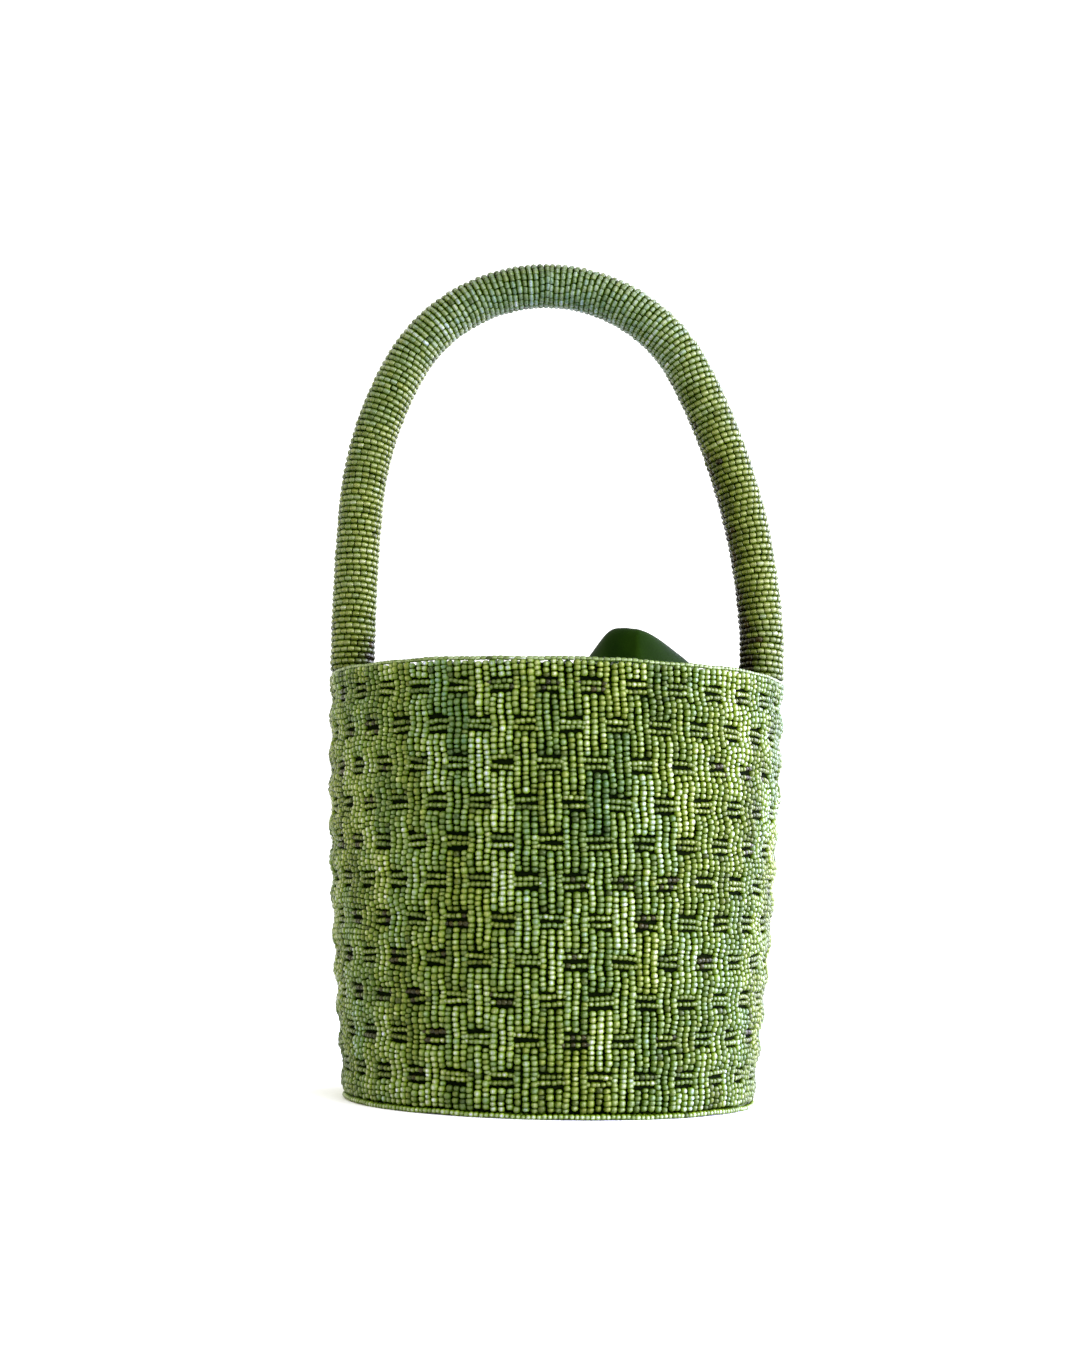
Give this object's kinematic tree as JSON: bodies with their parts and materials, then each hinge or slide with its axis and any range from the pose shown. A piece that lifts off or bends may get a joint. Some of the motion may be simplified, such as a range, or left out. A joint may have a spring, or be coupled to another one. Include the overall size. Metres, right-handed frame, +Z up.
{
  "type": "beaded bucket bag",
  "caption": "Small round bucket handbag of glass beads in a raised basket weave, with a stiff arched beaded handle and a satin drawstring collar inside the rim.",
  "frame": {"origin": "centre of the round base, on the surface the bag stands on", "axes": "+Z up; the handle arch stands in the XZ plane with its roots at -X and +X; -Y is the front"},
  "size_m": [0.1624, 0.161, 0.2995],
  "materials": {
    "glass_beads_mint": "gloss",
    "glass_beads_olive": "gloss",
    "glass_beads_pale": "gloss",
    "glass_beads_handle": "gloss",
    "backing_canvas": "matte",
    "stiffener_board": "matte",
    "satin_green": "satin",
    "satin_dark": "satin",
    "cotton_cord": "matte",
    "webbing": "matte",
    "thread": "matte",
    "plastic_core": "satin",
    "wadding": "matte"
  },
  "bodies": {
    "bag": {"wall_beadwork": "glass_beads_mint", "crossbar_strands": "glass_beads_olive", "wall_backing": "backing_canvas", "wall_board": "stiffener_board", "rim_edge_beads": "glass_beads_pale", "rim_binding": "satin_dark", "base_beadwork": "glass_beads_mint", "base_edge_beads": "glass_beads_pale", "base_backing": "backing_canvas", "base_board": "stiffener_board", "wall_lining": "satin_green", "base_lining": "satin_green", "pouch_collar": "satin_green", "collar_hem": "satin_dark", "drawcord": "cotton_cord", "handle_tab_left": "webbing", "handle_tab_right": "webbing", "tab_stitching": "thread"},
    "handle": {"handle_core": "plastic_core", "handle_padding": "wadding", "handle_sleeve": "backing_canvas", "handle_beadwork": "glass_beads_handle", "handle_strap_left": "webbing", "handle_strap_right": "webbing"}
  },
  "joints": [
    {"name": "handle_lean", "type": "hinge", "parent": "bag", "child": "handle", "pos_m": [0, 0, 0.1521], "axis": [1, 0, 0], "range_deg": [-12, 12], "stiffness_Nm_per_rad": 0.6}
  ]
}
